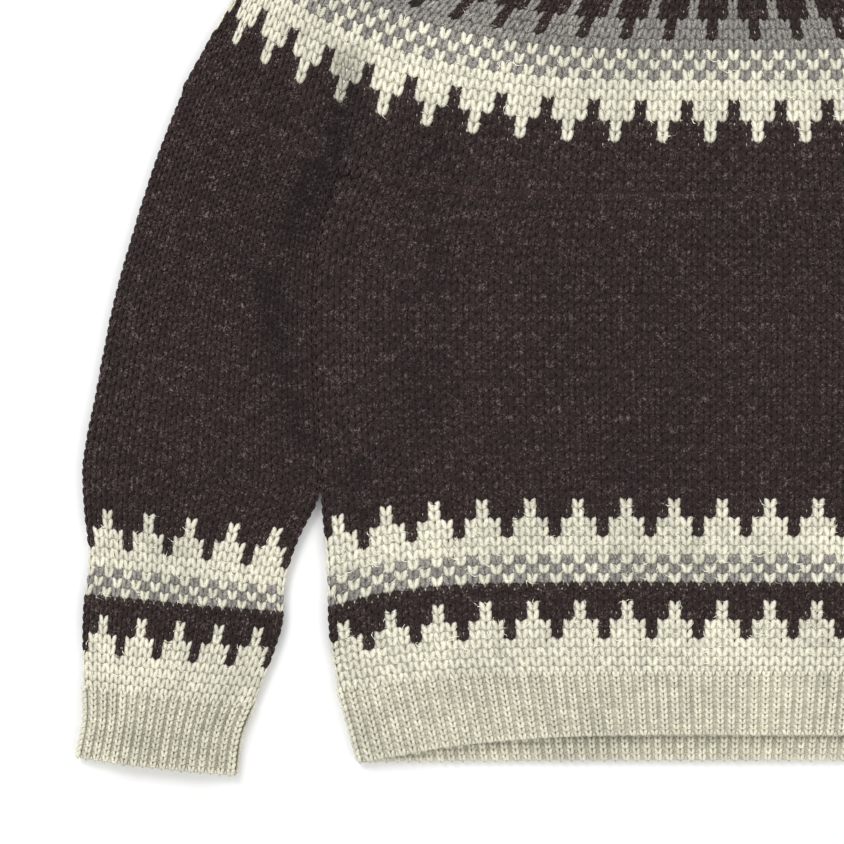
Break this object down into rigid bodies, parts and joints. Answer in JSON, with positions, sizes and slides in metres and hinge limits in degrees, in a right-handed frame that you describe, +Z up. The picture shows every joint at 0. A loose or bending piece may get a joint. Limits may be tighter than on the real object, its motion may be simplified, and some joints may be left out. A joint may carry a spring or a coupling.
{
  "type": "fair isle sweater",
  "caption": "Round-yoke fair isle pullover in bulky wool, laid flat on its back with long sleeves beside the body and ribbed hem, cuffs and neckband.",
  "frame": {"origin": "bottom centre of the laid garment's box, on the surface it lies on", "axes": "+X across the garment to the wearer's left, +Y from the hem to the neck, +Z up out of the front of the garment"},
  "size_m": [0.802, 0.6464, 0.0109],
  "materials": {
    "dark_brown_colourwork": "heathered dark brown wool stocking stitch with cream and mid grey stranded patterns, dry and fuzzy",
    "cream_rib": "undyed cream wool, knit one purl one rib, dry and fuzzy",
    "dark_brown_rib": "heathered dark brown wool, knit one purl one rib, dry and fuzzy"
  },
  "bodies": {
    "root": {"body": "dark_brown_colourwork", "hem_rib": "cream_rib", "sleeve_left": "dark_brown_colourwork", "sleeve_right": "dark_brown_colourwork", "cuff_left": "cream_rib", "cuff_right": "cream_rib", "yoke": "dark_brown_colourwork", "neckband": "dark_brown_rib"}
  },
  "joints": []
}
